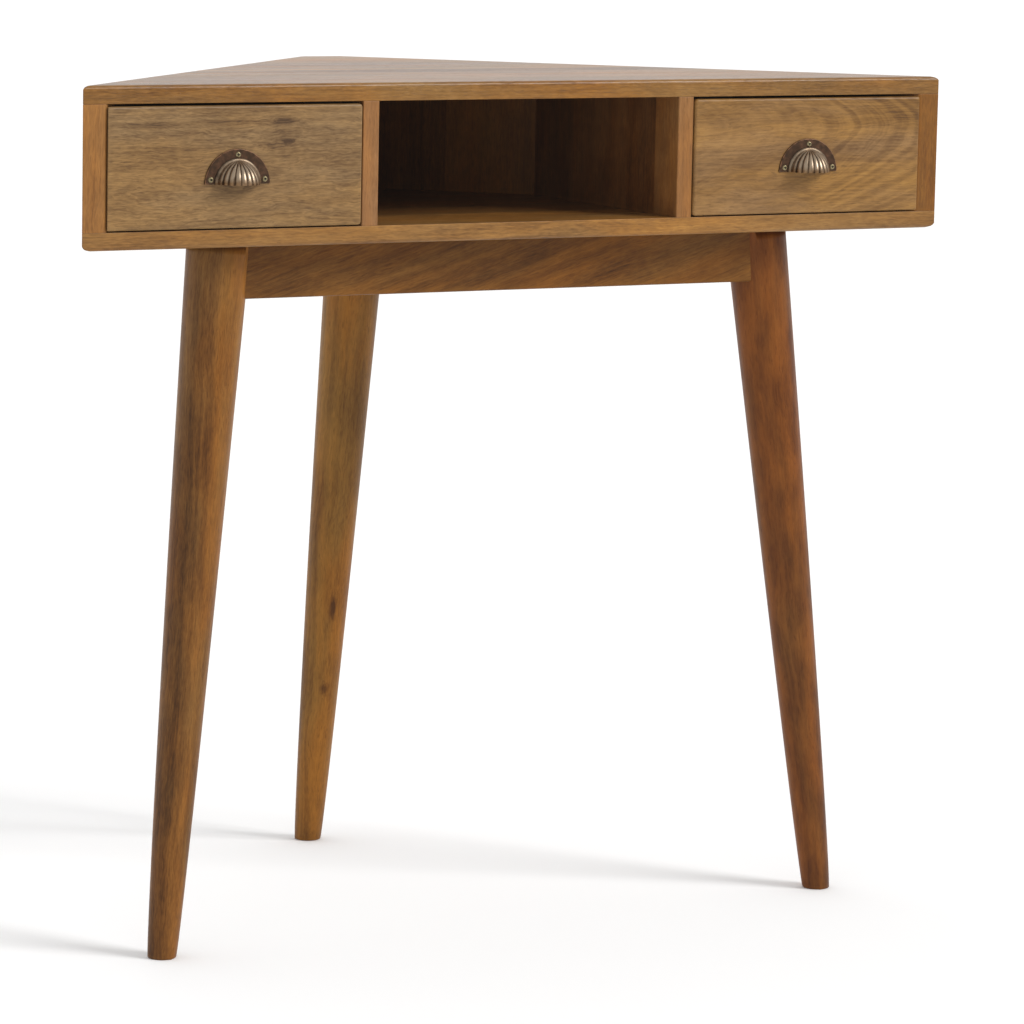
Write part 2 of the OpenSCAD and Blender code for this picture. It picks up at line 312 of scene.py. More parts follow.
def wood(name, colour, style, centre, grain, across):
    """Solid wood that is cut from one log: the same rings run through every face of the board."""
    s = Shader(name)
    place = s.add("VectorMath", s.place(), centre, operation="SUBTRACT").outputs[0]
    grain = grain.normalized()
    across = (across - grain * across.dot(grain)).normalized()
    board_along = s.dot(place, grain)
    along = s.math("ADD", board_along, style["seed"])
    side = s.dot(place, across)
    depth = s.dot(place, grain.cross(across))

    board_side = side
    if style["boards"]:
        board_tone = s.glued_boards(s.math("ADD", side, -style["first_edge"]), style["boards"])
        board_shift = s.random(s.times(board_tone, BOARD_SEED))
        along = s.math("ADD", along, s.times(board_shift, BOARD_SHIFT_ALONG))
        side = s.math("ADD", side, s.times(board_shift, BOARD_SHIFT_ASIDE))

    def drawn_out(kind, at_side, at_depth, roughness=0.5):
        """Noise whose waves are long along the grain and narrow across it."""
        per_length, per_width, detail = kind
        stretched = s.point(
            s.times(along, per_length), s.times(at_side, per_width), s.times(at_depth, per_width))
        return s.noise(stretched, detail=detail, roughness=roughness)

    # The grain wanders slowly, and turns aside for knots
    slow = 1.0 / style["sway_length"]
    wander = s.math("SUBTRACT", drawn_out((slow, 2.2 * slow, 3), side, depth), 0.5)
    ripple = s.math("SUBTRACT", drawn_out(RIPPLES, side, depth), 0.5)
    bend = s.math("ADD", s.times(wander, 2 * style["sway"]), s.times(ripple, 2 * style["ripple"]))
    side_bent = s.math("ADD", side, bend)
    depth_bent = s.math("SUBTRACT", depth, bend)
    knot_tone = 0.0
    for knot_along, knot_side, length, width, dark in style["knots"]:
        reach = s.point(
            s.math("DIVIDE", s.math("SUBTRACT", board_along, knot_along), length),
            s.math("DIVIDE", s.math("SUBTRACT", board_side, knot_side), width), 0.0)
        spot = s.ramp(s.add("VectorMath", reach, operation="LENGTH").outputs["Value"], 0.15, 1.0, 1.0, 0.0)
        knot_tone = s.sum(s.times(spot, dark), knot_tone)
        depth_bent = s.math("ADD", depth_bent, s.times(spot, 3 * width * dark ** 2))

    # Growth rings round the pith
    pith_side, pith_depth = style["pith"]
    off_side = s.math("ADD", side_bent, -pith_side)
    off_depth = s.math("ADD", depth_bent, pith_depth)
    radius = s.math("SQRT", s.sum(s.times(off_side, off_side), s.times(off_depth, off_depth)))
    radius = s.math("SUBTRACT", radius, s.times(along, style["taper"]))
    ring = s.line_noise(s.sum(s.math("DIVIDE", radius, style["gap"]), 37.0), 3.0, 0.55)
    ring = s.ramp(ring, 0.3, 0.7)

    # Streaks, fibres and pores follow the bent grain
    def figure(kind, low, high, roughness=0.55):
        return s.ramp(drawn_out(kind, side_bent, depth_bent, roughness), low, high)

    blotch_scale = 1.0 / style["blotch_length"]
    streak = figure(STREAKS, 0.3, 0.7)
    fibre = figure(FIBRES, 0.3, 0.7)
    fleck = figure(FLECKS, 0.28, 0.72)
    pore = figure(PORES, 0.60, 0.70)
    blotch = figure((blotch_scale, 3.0 * blotch_scale, 3), 0.3, 0.7)

    def swing(value, amount):
        return s.times(s.math("SUBTRACT", value, 0.5), amount)

    tone = swing(ring, style["rings"])
    if style["rings_from"] is not None:
        rings_from = style["rings_from"]
        tone = s.times(tone, s.ramp(board_along, rings_from, rings_from + RINGS_FADE_IN, 0.3, 1.0))
    tone = s.sum(tone, swing(streak, style["streaks"]), s.times(board_along, style["slope"]), 0.5)
    if style["heart"]:
        edge, dark = style["heart"]
        heart = s.ramp(side_bent, edge - HEART_EDGE, edge + HEART_EDGE, 1.0, 0.0)
        tone = s.math("SUBTRACT", tone, s.times(heart, dark))
    tone = s.sum(tone, swing(fibre, style["fibres"]), swing(fleck, style["flecks"]))
    tone = s.sum(tone, swing(blotch, style["blotches"]))
    if style["boards"]:
        tone = s.math("ADD", tone, board_tone)
    if style["knots"]:
        tone = s.math("SUBTRACT", tone, knot_tone)

    wood_colour = s.gradient(tone, [(level, shade(colour, factors)) for level, factors in TONES])
    if style["heart"]:
        greyed = s.mix(1.0, wood_colour, HEART_TINT, "MULTIPLY")
        wood_colour = s.mix(s.times(heart, 4 * dark), wood_colour, greyed)
    hue = figure(HUES, 0.32, 0.68, roughness=0.6)
    warm = tuple(w ** style["hues"] for w in style["warmth"])
    cool = tuple(1 / w for w in warm)
    wood_colour = s.mix(1.0, wood_colour, s.mix(hue, cool, warm), "MULTIPLY")
    wood_colour = s.mix(s.times(pore, style["pores"]), wood_colour, shade(colour, PORE_SHADE))

    # Rubbed edges are paler in patches, and polish gathers dark beside them
    wear = s.attribute("wear")
    patches = s.noise(s.place(), 38, 3, 0.6)
    rubbed = s.ramp(s.sum(wear, s.times(s.math("SUBTRACT", patches, 0.5), 0.7)), 0.62, 1.0)
    grimy = s.times(s.ramp(wear, 0.1, 0.65), s.ramp(patches, 0.42, 0.62))
    wood_colour = s.mix(s.times(grimy, 0.22), wood_colour, shade(colour, GRIME_SHADE))
    wood_colour = s.mix(s.times(rubbed, 0.18), wood_colour, shade(colour, RUBBED_SHADE))

    roughness = s.sum(style["shine"], swing(streak, 0.06), s.times(pore, 0.12), s.times(rubbed, -0.06))
    height = s.sum(s.times(fibre, 0.5), s.times(pore, -0.6), s.times(streak, 0.25))
    return s.finish(
        Base_Color=wood_colour, Roughness=roughness, Specular_IOR_Level=style["gloss"],
        Normal=s.bump(height, 0.25, 0.4 * MM))


# ---- Metals ----


BRONZE = (0.058, 0.036, 0.021)
WORN_NICKEL = (0.375, 0.288, 0.203)
# Tint of the painted reflection of the brown wood, low on the pull shell
PAINTED_WOOD_REFLECTION = (0.56, 0.38, 0.20)
TARNISH = (0.30, 0.19, 0.11)
LACQUER = ((0.049, 0.025, 0.012), (0.101, 0.048, 0.024))
BARE_COPPER = (0.30, 0.15, 0.075)
BRASS = ((0.20, 0.16, 0.085), (0.36, 0.30, 0.17))
# Nearly black, for the cross recess and the middle of each screw head
RECESS_BLACK = (0.02, 0.016, 0.012)
ZINC = ((0.40, 0.40, 0.39), (0.66, 0.66, 0.67))


def shell_metal(lip_z):
    """Bronze under worn nickel: dark in the creases and bright on the ribs, with a painted reflection of the
    brown wood warming it towards the lip.
    """
    s = Shader("antique_shell")
    wear = s.attribute("wear")
    clouds = s.noise(s.place(), 160, 4, 0.6)
    worn = s.ramp(s.sum(wear, s.times(s.math("SUBTRACT", clouds, 0.5), 0.8)), 0.15, 0.95)
    colour = s.mix(worn, BRONZE, WORN_NICKEL)
    rise = s.math("SUBTRACT", s.dot(s.place(), UP), lip_z)
    # A painted reflection of the brown wood warms the shell towards its lip
    reflection_near_lip = s.ramp(s.sum(rise, s.times(clouds, 6 * MM)), 3 * MM, 10 * MM, 1.0, 0.0)
    colour = s.mix(s.times(reflection_near_lip, 0.85), colour, s.mix(1.0, colour, PAINTED_WOOD_REFLECTION, "MULTIPLY"))
    tarnish = s.ramp(s.noise(s.place(), 75, 3), 0.45, 0.68)
    colour = s.mix(s.times(tarnish, 0.3), colour, TARNISH)
    roughness = s.ramp(s.sum(worn, s.times(clouds, -0.4)), 0.0, 0.9, 0.52, 0.36)
    fine = s.noise(s.place(), 900, 2)
    return s.finish(
        Base_Color=colour, Metallic=1.0, Roughness=roughness, Normal=s.bump(fine, 0.12, 0.1 * MM))


def flange_metal():
    """Dark brown lacquer that has rubbed through to copper here and there."""
    s = Shader("antique_flange")
    clouds = s.noise(s.place(), 210, 4, 0.6)
    rubbed = s.ramp(s.sum(s.times(s.attribute("wear"), 0.35), clouds), 0.58, 0.95)
    colour = s.mix(s.ramp(clouds, 0.35, 0.7), *LACQUER)
    colour = s.mix(s.times(rubbed, 0.7), colour, BARE_COPPER)
    roughness = s.ramp(clouds, 0.3, 0.7, 0.36, 0.52)
    return s.finish(
        Base_Color=colour, Metallic=0.75, Roughness=roughness,
        Normal=s.bump(s.noise(s.place(), 700, 3), 0.2, 0.1 * MM))


def brass_metal():
    """Dull brass, nearly black in the recesses."""
    s = Shader("screw_brass")
    clouds = s.noise(s.place(), 500, 3, 0.6)
    raised = s.attribute("wear")
    colour = s.mix(clouds, *BRASS)
    # The cross recess and the middle of each head are nearly black
    colour = s.mix(s.ramp(raised, 0.2, 0.9), RECESS_BLACK, colour)
    roughness = s.ramp(clouds, 0.3, 0.7, 0.32, 0.46)
    return s.finish(Base_Color=colour, Metallic=0.9, Roughness=roughness)


def zinc_metal():
    """Zinc plate with its spangle and some dulling."""
    s = Shader("zinc_steel")
    spangle = s.noise(s.place(), 260, 3, 0.6)
    colour = s.mix(spangle, *ZINC)
    roughness = s.ramp(spangle, 0.3, 0.7, 0.30, 0.48)
    return s.finish(
        Base_Color=colour, Metallic=1.0, Roughness=roughness,
        Normal=s.bump(s.noise(s.place(), 1200, 2), 0.2, 0.05 * MM))


# ---- Mesh tools ----

JOINT_RADIUS = 0.5 * MM
WEAR_REACH = 11 * MM


def new_object(name, bm):
    mesh = bpy.data.meshes.new(name)
    bm.to_mesh(mesh)
    bm.free()
    obj = bpy.data.objects.new(name, mesh)
    bpy.context.scene.collection.objects.link(obj)
    return obj


def apply_modifiers(obj):
    bpy.context.view_layer.update()
    graph = bpy.context.evaluated_depsgraph_get()
    evaluated = obj.evaluated_get(graph)
    mesh = bpy.data.meshes.new_from_object(evaluated, preserve_all_data_layers=True, depsgraph=graph)
    obj.modifiers.clear()
    obj.data = mesh


def node_points(node):
    return [v.co.copy() for v in frame["nodes"][node].data.vertices]


def hull(points):
    """The convex solid round some points, with its flat faces whole."""
    bm = bmesh.new()
    for p in points:
        bm.verts.new(p)
    made = bmesh.ops.convex_hull(bm, input=bm.verts)
    spare = {e for e in made["geom_interior"] + made["geom_unused"] if isinstance(e, bmesh.types.BMVert)}
    bmesh.ops.delete(bm, geom=list(spare), context="VERTS")
    bmesh.ops.remove_doubles(bm, verts=bm.verts, dist=0.05 * MM)
    bmesh.ops.dissolve_limit(bm, angle_limit=math.radians(1), verts=bm.verts, edges=bm.edges)
    bmesh.ops.recalc_face_normals(bm, faces=bm.faces)
    return bm


def distance_to_segment(p, a, b):
    run = b - a
    share = max(0.0, min(1.0, (p - a).dot(run) / run.length_squared))
    return (p - a - run * share).length


def set_wear(mesh, value_at):
    layer = mesh.attributes.new("wear", "FLOAT", "POINT")
    layer.data.foreach_set("value", [value_at(v.co) for v in mesh.vertices])


def weigh_normals(obj):
    for polygon in obj.data.polygons:
        polygon.use_smooth = True
    modifier = obj.modifiers.new("normals", "WEIGHTED_NORMAL")
    modifier.weight = 100
    modifier.keep_sharp = True
    apply_modifiers(obj)


def edge_radius(edge, rounds):
    """The radius of the first rule that fits. A rule is (radius, way the edge runs, side it is on)."""
    run = (edge.verts[1].co - edge.verts[0].co).normalized()
    for radius, way, face_side in rounds:
        runs_so = way is None or abs(run.dot(way)) > 0.95
        lies_so = face_side is None or any(f.normal.dot(face_side) > 0.9 for f in edge.link_faces)
        if runs_so and lies_so:
            return radius
    return JOINT_RADIUS


def soften(name, bm, rounds=()):
    """Rounds a prism's edges, following the rules in rounds, and marks where they wear."""
    edges = [(e.verts[0].co.copy(), e.verts[1].co.copy()) for e in bm.edges]
    radii = [edge_radius(e, rounds) for e in bm.edges]
    largest = max(radii)
    weights = bm.edges.layers.float.new("bevel_weight_edge")
    for e, radius in zip(bm.edges, radii):
        e[weights] = radius / largest
    obj = new_object(name, bm)
    bevel = obj.modifiers.new("bevel", "BEVEL")
    bevel.limit_method = "WEIGHT"
    bevel.width = largest
    bevel.segments = 4
    apply_modifiers(obj)

    # A margin inside each large face carries the wear from the edges inwards
    bm = bmesh.new()
    bm.from_mesh(obj.data)
    broad = [f for f in bm.faces if f.calc_area() > (3 * WEAR_REACH) ** 2]
    large = [f for f in broad if min(e.calc_length() for e in f.edges) > 1.5 * WEAR_REACH]
    bmesh.ops.inset_individual(bm, faces=large, thickness=WEAR_REACH * 0.6)
    bm.to_mesh(obj.data)
    bm.free()

    def wear_at(p):
        nearest = min(distance_to_segment(p, a, b) for a, b in edges)
        return max(0.0, 1.0 - nearest / WEAR_REACH)

    set_wear(obj.data, wear_at)
    weigh_normals(obj)
    return obj


def finish_piece(obj, body, material, slot, *replaced):
    obj.data.materials.clear()
    obj.data.materials.append(material)
    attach(obj, body)
    if replaced:
        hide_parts(*replaced)
    return obj


def middle(node):
    low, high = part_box(node)
    return (low + high) / 2


SLOTS = {part["node"]: part["material_slot"] for part in frame["record"]["subparts"]}
BODIES = {n: b for b, members in frame["record"]["behaviour"]["bodies"].items() for n in members}


def wooden_board(node, colour, style, grain, across, rounds=()):
    """A softened copy of a CAD board, in wood."""
    points, centre = node_points(node), middle(node)
    obj = soften(node + "_wood", hull(points), rounds)
    if style["boards"]:
        square = (across - grain * across.dot(grain) / grain.length_squared).normalized()
        style = {**style, "first_edge": min((p - centre).dot(square) for p in points)}
    material = wood(node, colour, style, centre, grain, across)
    return finish_piece(obj, BODIES[node], material, SLOTS[node], node)


# ---- Box ----

STILE_COLOURS = {"left": (0.278, 0.122, 0.0287), "right": (0.210, 0.078, 0.0089)}
DIVIDER_COLOURS = {"left": (0.251, 0.112, 0.0348), "right": (0.243, 0.105, 0.0285)}
UPRIGHT = look(rings=0.08, gap=0.006, streaks=0.07, taper=0.01, fibres=0.16, flecks=0.22, blotch_length=0.08)
TOP_BOARDS = ((0.100, 0.03), (0.048, 0.0), (0.044, -0.22), (0.012, 0.14), (0.100, -0.03), (0.120, 0.05))
BOTTOM_BOARDS = ((0.095, 0.0), (0.085, -0.06), (0.100, 0.04), (0.075, -0.04), (0.090, 0.02))
DIVIDER_BOARDS = ((0.040, 0.09), (0.050, -0.27), (0.100, -0.07), (0.075, -0.20))
WALL_BOARDS = ((0.092, 0.0), (0.098, -0.10), (0.090, 0.05), (0.101, -0.05), (0.095, 0.03), (0.098, -0.18))


def build_box():
    top_style = look(
        boards=TOP_BOARDS, rings=0.18, gap=0.012, taper=0.02, sway_length=0.5, blotches=0.34,
        blotch_length=0.3, hues=1.0, shine=0.30)
    top_rounds = ((2 * MM, UP, None), (3.6 * MM, None, UP))
    wooden_board("top_board", (0.232, 0.1058, 0.0229), top_style, RIGHT, BACK, top_rounds)
    bottom_style = look(boards=BOTTOM_BOARDS, seed=0.31, taper=0.05)
    bottom_rounds = ((2 * MM, UP, None), (4.5 * MM, None, DOWN))
    wooden_board("bottom_board", (0.258, 0.122, 0.0293), bottom_style, RIGHT, BACK, bottom_rounds)
    for name, seed, sense in (("left", 0.2, 1), ("right", 0.63, -1)):
        wall = Vector((sense, 1, 0))
        style = {**UPRIGHT, "seed": seed, "boards": WALL_BOARDS}
        outer_corner = ((2 * MM, UP, FRONT),)
        wooden_board(name + "_side_panel", STILE_COLOURS[name], style, UP, wall, outer_corner)
        style = {**UPRIGHT, "seed": seed + 0.11, "boards": DIVIDER_BOARDS}
        wooden_board(name + "_divider", DIVIDER_COLOURS[name], style, UP, BACK, ((1 * MM, UP, FRONT),))
    corner_rounds = ((2 * MM, UP, BACK),)
    wooden_board("back_corner_block", STILE_COLOURS["right"], look(seed=0.8), UP, RIGHT, corner_rounds)


# ---- Drawers ----

RAW = look(rings=0.16, streaks=0.16, fibres=0.2, blotches=0.16, pores=0.25, shine=0.55, hues=0.3)
RAW_COLOUR = (0.36, 0.23, 0.115)
STAINED_COLOUR = (0.05, 0.03, 0.016)


def build_drawer_front(side):
    node = side + "_drawer_front"
    if side == "left":
        colour = (0.225, 0.128, 0.048)
        style = look(
            rings=0.17, gap=0.0036, pith=(-0.01, 0.03), taper=0.015, sway=0.008, sway_length=0.12, seed=0.4,
            ripple=0.0024, streaks=0.11, fibres=0.22, blotches=0.24, blotch_length=0.08, hues=0.35,
            knots=(
                (0.046, 0.040, 0.018, 0.0042, 0.42), (0.044, 0.030, 0.030, 0.028, 0.17),
                (0.051, 0.021, 0.009, 0.0040, 0.34), (0.034, 0.016, 0.006, 0.005, 0.16),
                (0.106, -0.018, 0.030, 0.003, 0.20), (-0.075, 0.036, 0.020, 0.004, 0.12)))
    else:
        colour = (0.239, 0.123, 0.036)
        style = look(
            rings=0.29, gap=0.0058, pith=(0.024, 0.020), taper=-0.36, sway=0.008, sway_length=0.14,
            rings_from=-0.03, slope=-0.8, ripple=0.0012, streaks=0.24, fibres=0.18, flecks=0.16,
            blotch_length=0.09, warmth=(1.10, 1.0, 0.60), hues=0.45,
            knots=((0.042, 0.020, 0.012, 0.004, 0.2),))
    rounds = ((3.2 * MM, FRONT, None), (2.4 * MM, None, FRONT))
    wooden_board(node, colour, style, RIGHT, UP, rounds)


def build_drawer_box(side):
    sense = -1 if side == "left" else 1
    outward = Vector((-sense, 1, 0))
    top_rounds = ((1 * MM, None, UP),)
    grains = {"inner_side": (BACK, UP), "outer_side": (outward, UP), "back": (RIGHT, UP)}
    for seed, (part, (grain, across)) in enumerate(grains.items()):
        style = {**RAW, "seed": 0.37 * seed + 0.1 * sense}
        wooden_board(f"{side}_drawer_{part}", RAW_COLOUR, style, grain, across, top_rounds)
    veneer = {**RAW, "rings": 0.4, "gap": 0.012, "taper": 0.1, "pith": (0.0, 0.02)}
    wooden_board(f"{side}_drawer_bottom", (0.42, 0.29, 0.155), veneer, RIGHT, BACK)
    wooden_board(f"{side}_drawer_guide", RAW_COLOUR, {**RAW, "seed": 0.9}, BACK, RIGHT, top_rounds)
    wooden_board(f"{side}_drawer_stop", STAINED_COLOUR, {**RAW, "seed": 0.7}, RIGHT, BACK)


# ---- Pulls ----

RIBS = 10
RIB_DEPTH = 0.8 * MM
FLANGE_THICKNESS = 1.6 * MM
SHELL_THICKNESS = 1.2 * MM
BEAD_RADIUS = 2.3 * MM
POLE_OFFSET = FLANGE_THICKNESS + 1.6 * MM
RIB_SHARPNESS = 0.75
RIBS_FADE_IN = 1.5 * MM
ROLLED_EDGE = 0.7 * MM
SCREW_HEAD_HEIGHT = 1.5 * MM
RECESS_DEPTH = 0.8 * MM


class Pull:
    """The sizes of one pull, from its CAD node."""

    def __init__(self, side):
        low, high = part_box(side + "_pull_cup")
        self.x = (low.x + high.x) / 2
        self.back_y, self.bottom_z = high.y, low.z
        self.flange_radius = (high.x - low.x) / 2
        self.flange_z = high.z - self.flange_radius
        self.reach = high.y - low.y
        self.bead_line = self.reach - 1.1 * MM


def add_grid(bm, rows, closed):
    """Faces between rows of vertices, joined end to end where closed."""
    for row, following in zip(rows, rows[1:]):
        count = len(row)
        for j in range(count if closed else count - 1):
            k = (j + 1) % count
            bm.faces.new((row[j], row[k], following[k], following[j]))


def add_dome(bm, wear, pull):
    """A half dome, open below, whose ribs fan out from a point high up near the flange."""
    width, height = pull.bead_line, pull.bead_line - 0.2 * MM
    turns, rises = 180, 48
    rows = []
    for i in range(rises + 1):
        rise = math.pi / 2 * i / rises * 0.985
        row = []
        for j in range(turns + 1):
            turn = math.pi * j / turns
            x = width * math.cos(rise) * math.cos(turn)
            y = pull.reach * math.cos(rise) * math.sin(turn)
            z = height * math.sin(rise)
            normal = Vector((x / width ** 2, y / pull.reach ** 2, z / height ** 2)).normalized()
            out = y - POLE_OFFSET
            fan = math.atan2(max(out, 0.0), x) / math.pi * RIBS
            crest = abs(math.sin(math.pi * fan)) ** RIB_SHARPNESS
            ribbed = min(1.0, max(0.0, out / RIBS_FADE_IN))
            sink = (1 - crest) * min(RIB_DEPTH, 0.3 * math.hypot(x, out) * math.pi / RIBS) * ribbed
            point = Vector((x, y, z)) - normal * sink
            vert = bm.verts.new((pull.x + point.x, pull.back_y - point.y, pull.bottom_z + max(0.0, point.z)))
            vert[wear] = 1 - (1 - crest) * ribbed
            row.append(vert)
        rows.append(row)
    add_grid(bm, rows, closed=False)


def add_bead(bm, wear, pull):
    """The plain raised band that frames the ribs."""
    turns, sides = 96, 20
    rows = []
    for i in range(turns + 1):
        a = math.pi * i / turns
        row = []
        for j in range(sides):
            b = 2 * math.pi * j / sides
            line = pull.bead_line + BEAD_RADIUS * math.cos(b)
            out = FLANGE_THICKNESS + 0.9 * BEAD_RADIUS * math.sin(b)
            x, z = line * math.cos(a), line * math.sin(a)
            vert = bm.verts.new((pull.x + x, pull.back_y - max(0.0, out), pull.bottom_z + z))
            vert[wear] = 0.32 + 0.25 * math.sin(b)
            row.append(vert)
        rows.append(row)
    add_grid(bm, rows, closed=True)
    bm.faces.new(rows[0])
    bm.faces.new(rows[-1])


def face_outwards(bm, centre):
    bmesh.ops.recalc_face_normals(bm, faces=bm.faces)
    if sum(f.normal.dot(f.calc_center_median() - centre) for f in bm.faces) < 0:
        bmesh.ops.reverse_faces(bm, faces=bm.faces)


def build_shell(side, material):
    pull = Pull(side)
    bm = bmesh.new()
    add_dome(bm, bm.verts.layers.float.new("wear"), pull)
    face_outwards(bm, Vector((pull.x, pull.back_y, pull.bottom_z)))
    dome = new_object(side + "_pull_shell", bm)
    solid = dome.modifiers.new("solid", "SOLIDIFY")
    solid.thickness = SHELL_THICKNESS
    solid.offset = -1
    apply_modifiers(dome)
    bm = bmesh.new()
    bm.from_mesh(dome.data)
    add_bead(bm, bm.verts.layers.float["wear"], pull)
    bm.to_mesh(dome.data)
    bm.free()
    for polygon in dome.data.polygons:
        polygon.use_smooth = True
    return finish_piece(dome, side + "_drawer", material, "antique_metal", side + "_pull_cup")


def build_flange(side, material):
    """The flat half ring behind the shell, with a rolled outer edge."""
    pull = Pull(side)
    radius, inner = pull.flange_radius, pull.bead_line - 1 * MM
    steps = 96
    drop = pull.bottom_z - pull.flange_z

    def arc(r, turned_back):
        start = math.asin(drop / r)
        for i in range(steps + 1):
            share = 1 - i / steps if turned_back else i / steps
            a = start + (math.pi - 2 * start) * share
            yield Vector((pull.x + r * math.cos(a), pull.back_y, pull.flange_z + r * math.sin(a)))

    bm = bmesh.new()
    face = bm.faces.new([bm.verts.new(p) for p in [*arc(radius, False), *arc(inner, True)]])
    made = bmesh.ops.extrude_face_region(bm, geom=[face])
    front = [v for v in made["geom"] if isinstance(v, bmesh.types.BMVert)]
    bmesh.ops.translate(bm, verts=front, vec=FRONT * FLANGE_THICKNESS)
    bmesh.ops.recalc_face_normals(bm, faces=bm.faces)
    front_y = pull.back_y - FLANGE_THICKNESS
    rim = [e for e in bm.edges if all(abs(v.co.y - front_y) < 1e-6 for v in e.verts)]
    bmesh.ops.bevel(bm, geom=rim, offset=ROLLED_EDGE, segments=4, profile=0.5, affect="EDGES")
    wide = [f for f in bm.faces if f.calc_area() > 200 * MM * MM]
    bmesh.ops.triangulate(bm, faces=wide)
    obj = new_object(side + "_pull_flange", bm)

    def wear_at(p):
        reach = math.hypot(p.x - pull.x, p.z - pull.flange_z)
        return 1.0 if reach > radius - 0.5 * MM and p.y < pull.back_y - 0.5 * MM else 0.0

    set_wear(obj.data, wear_at)
    weigh_normals(obj)
    return finish_piece(obj, side + "_drawer", material, "antique_metal")


def islands(node):
    """The boxes of the separate solids in one CAD node, as (lowest corner, highest corner)."""
    bm = bmesh.new()
    bm.from_mesh(frame["nodes"][node].data)
    bmesh.ops.remove_doubles(bm, verts=bm.verts, dist=0.01 * MM)
    left = set(bm.verts)
    boxes = []
    while left:
        found, queue = [], [left.pop()]
        while queue:
            vert = queue.pop()
            found.append(vert.co.copy())
            for edge in vert.link_edges:
                other = edge.other_vert(vert)
                if other in left:
                    left.remove(other)
                    queue.append(other)
        low = Vector(min(p[i] for p in found) for i in range(3))
        high = Vector(max(p[i] for p in found) for i in range(3))
        boxes.append((low, high))
    bm.free()
    return sorted(boxes, key=lambda b: (round(b[0].x, 5), round(b[0].z, 5)))


def build_pull_screws(side, material):
    """Three round-headed screws with a cross recess."""
    node = side + "_pull_screws"
    bm = bmesh.new()
    wear = bm.verts.layers.float.new("wear")
    turns, rings = 48, 14
    for low, high in islands(node):
        centre = (low + high) / 2
        head_radius = (high.x - low.x) / 2
        rows = []
        for i in range(rings + 1):
            share = i / rings
            row = []
            for j in range(turns):
                a = 2 * math.pi * j / turns
                x, z = share * head_radius * math.cos(a), share * head_radius * math.sin(a)
                rise = SCREW_HEAD_HEIGHT * math.sqrt(max(0.0, 1 - share ** 2.6))
                slot = max(abs(x), abs(z)) < 0.55 * head_radius and min(abs(x), abs(z)) < 0.17 * head_radius
                cut = RECESS_DEPTH if slot or share < 0.2 else 0.0
                vert = bm.verts.new((centre.x + x, low.y + SCREW_HEAD_HEIGHT - rise + cut, centre.z + z))
                vert[wear] = 0.0 if cut else 1.0
                row.append(vert)
            rows.append(row)
        add_grid(bm, rows, closed=True)
    bmesh.ops.remove_doubles(bm, verts=bm.verts, dist=0.01 * MM)
    bmesh.ops.recalc_face_normals(bm, faces=bm.faces)
    obj = new_object(node + "_heads", bm)
    for polygon in obj.data.polygons:
        polygon.use_smooth = True
    return finish_piece(obj, side + "_drawer", material, "screw_brass", node)


# ---- Legs ----

LEG_CURVE = 0.75
FOOT_EDGE = 1.6 * MM
SAPWOOD_SIDE = Vector((1, -0.57, 0))


class Leg:
    """Where a leg's axis runs and how thick it is, measured from its CAD node."""

    def __init__(self, node):
        low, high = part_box(node)
        self.node = node
        self.top, self.top_radius = self.measure_end(high.z)
        self.foot, self.foot_radius = self.measure_end(low.z)

    def measure_end(self, z):
        rim = [p for p in node_points(self.node) if abs(p.z - z) < 0.1 * MM]
        low = Vector(min(p[i] for p in rim) for i in range(3))
        high = Vector(max(p[i] for p in rim) for i in range(3))
        centre = (low + high) / 2
        lean = middle(self.node) - centre
        flat = Vector((-lean.y, lean.x, 0)).normalized()
        reach = [(p - centre).dot(flat) for p in rim]
        return centre, (max(reach) - min(reach)) / 2

    def axis_at(self, z):
        return self.foot.lerp(self.top, (z - self.foot.z) / (self.top.z - self.foot.z))

    def radius_at(self, share):
        return self.foot_radius + (self.top_radius - self.foot_radius) * max(0.0, share) ** LEG_CURVE


def build_leg(node, colour, style):
    """A turned leg. The side its heartwood is on faces left and a little to the back."""
    leg = Leg(node)
    run = leg.top - leg.foot
    length = run.length
    upright = run.normalized()
    side = (SAPWOOD_SIDE - upright * SAPWOOD_SIDE.dot(upright)).normalized()
    ahead = upright.cross(side)
    turns, rings = 96, 56
    angles = [2 * math.pi * j / turns for j in range(turns)]
    spokes = [side * math.cos(a) + ahead * math.sin(a) for a in angles]
    spare = 12 * MM
    bm = bmesh.new()
    rows = []
    for i in range(rings + 1):
        s = -spare + (length + 2 * spare) * i / rings
        radius = leg.radius_at(min(1.0, s / length))
        centre = leg.foot + upright * s
        rows.append([bm.verts.new(centre + radius * spoke) for spoke in spokes])
    add_grid(bm, rows, closed=True)
    for level, away in ((leg.foot.z, DOWN), (leg.top.z, UP)):
        everything = bm.verts[:] + bm.edges[:] + bm.faces[:]
        cut = bmesh.ops.bisect_plane(
            bm, geom=everything, plane_co=(0, 0, level), plane_no=away, clear_outer=True)
        rim = [e for e in cut["geom_cut"] if isinstance(e, bmesh.types.BMEdge)]
        bmesh.ops.contextual_create(bm, geom=rim)
        if away == DOWN:
            bmesh.ops.bevel(bm, geom=rim, offset=FOOT_EDGE, segments=3, profile=0.5, affect="EDGES")
    bmesh.ops.recalc_face_normals(bm, faces=bm.faces)
    obj = new_object(node + "_turned", bm)
    set_wear(obj.data, lambda p: max(0.0, 1 - (p.z - leg.foot.z) / WEAR_REACH))
    weigh_normals(obj)
    material = wood(node, colour, style, leg.axis_at(leg.top.z / 2), run, side)
    return finish_piece(obj, "root", material, "leg_wood", node)


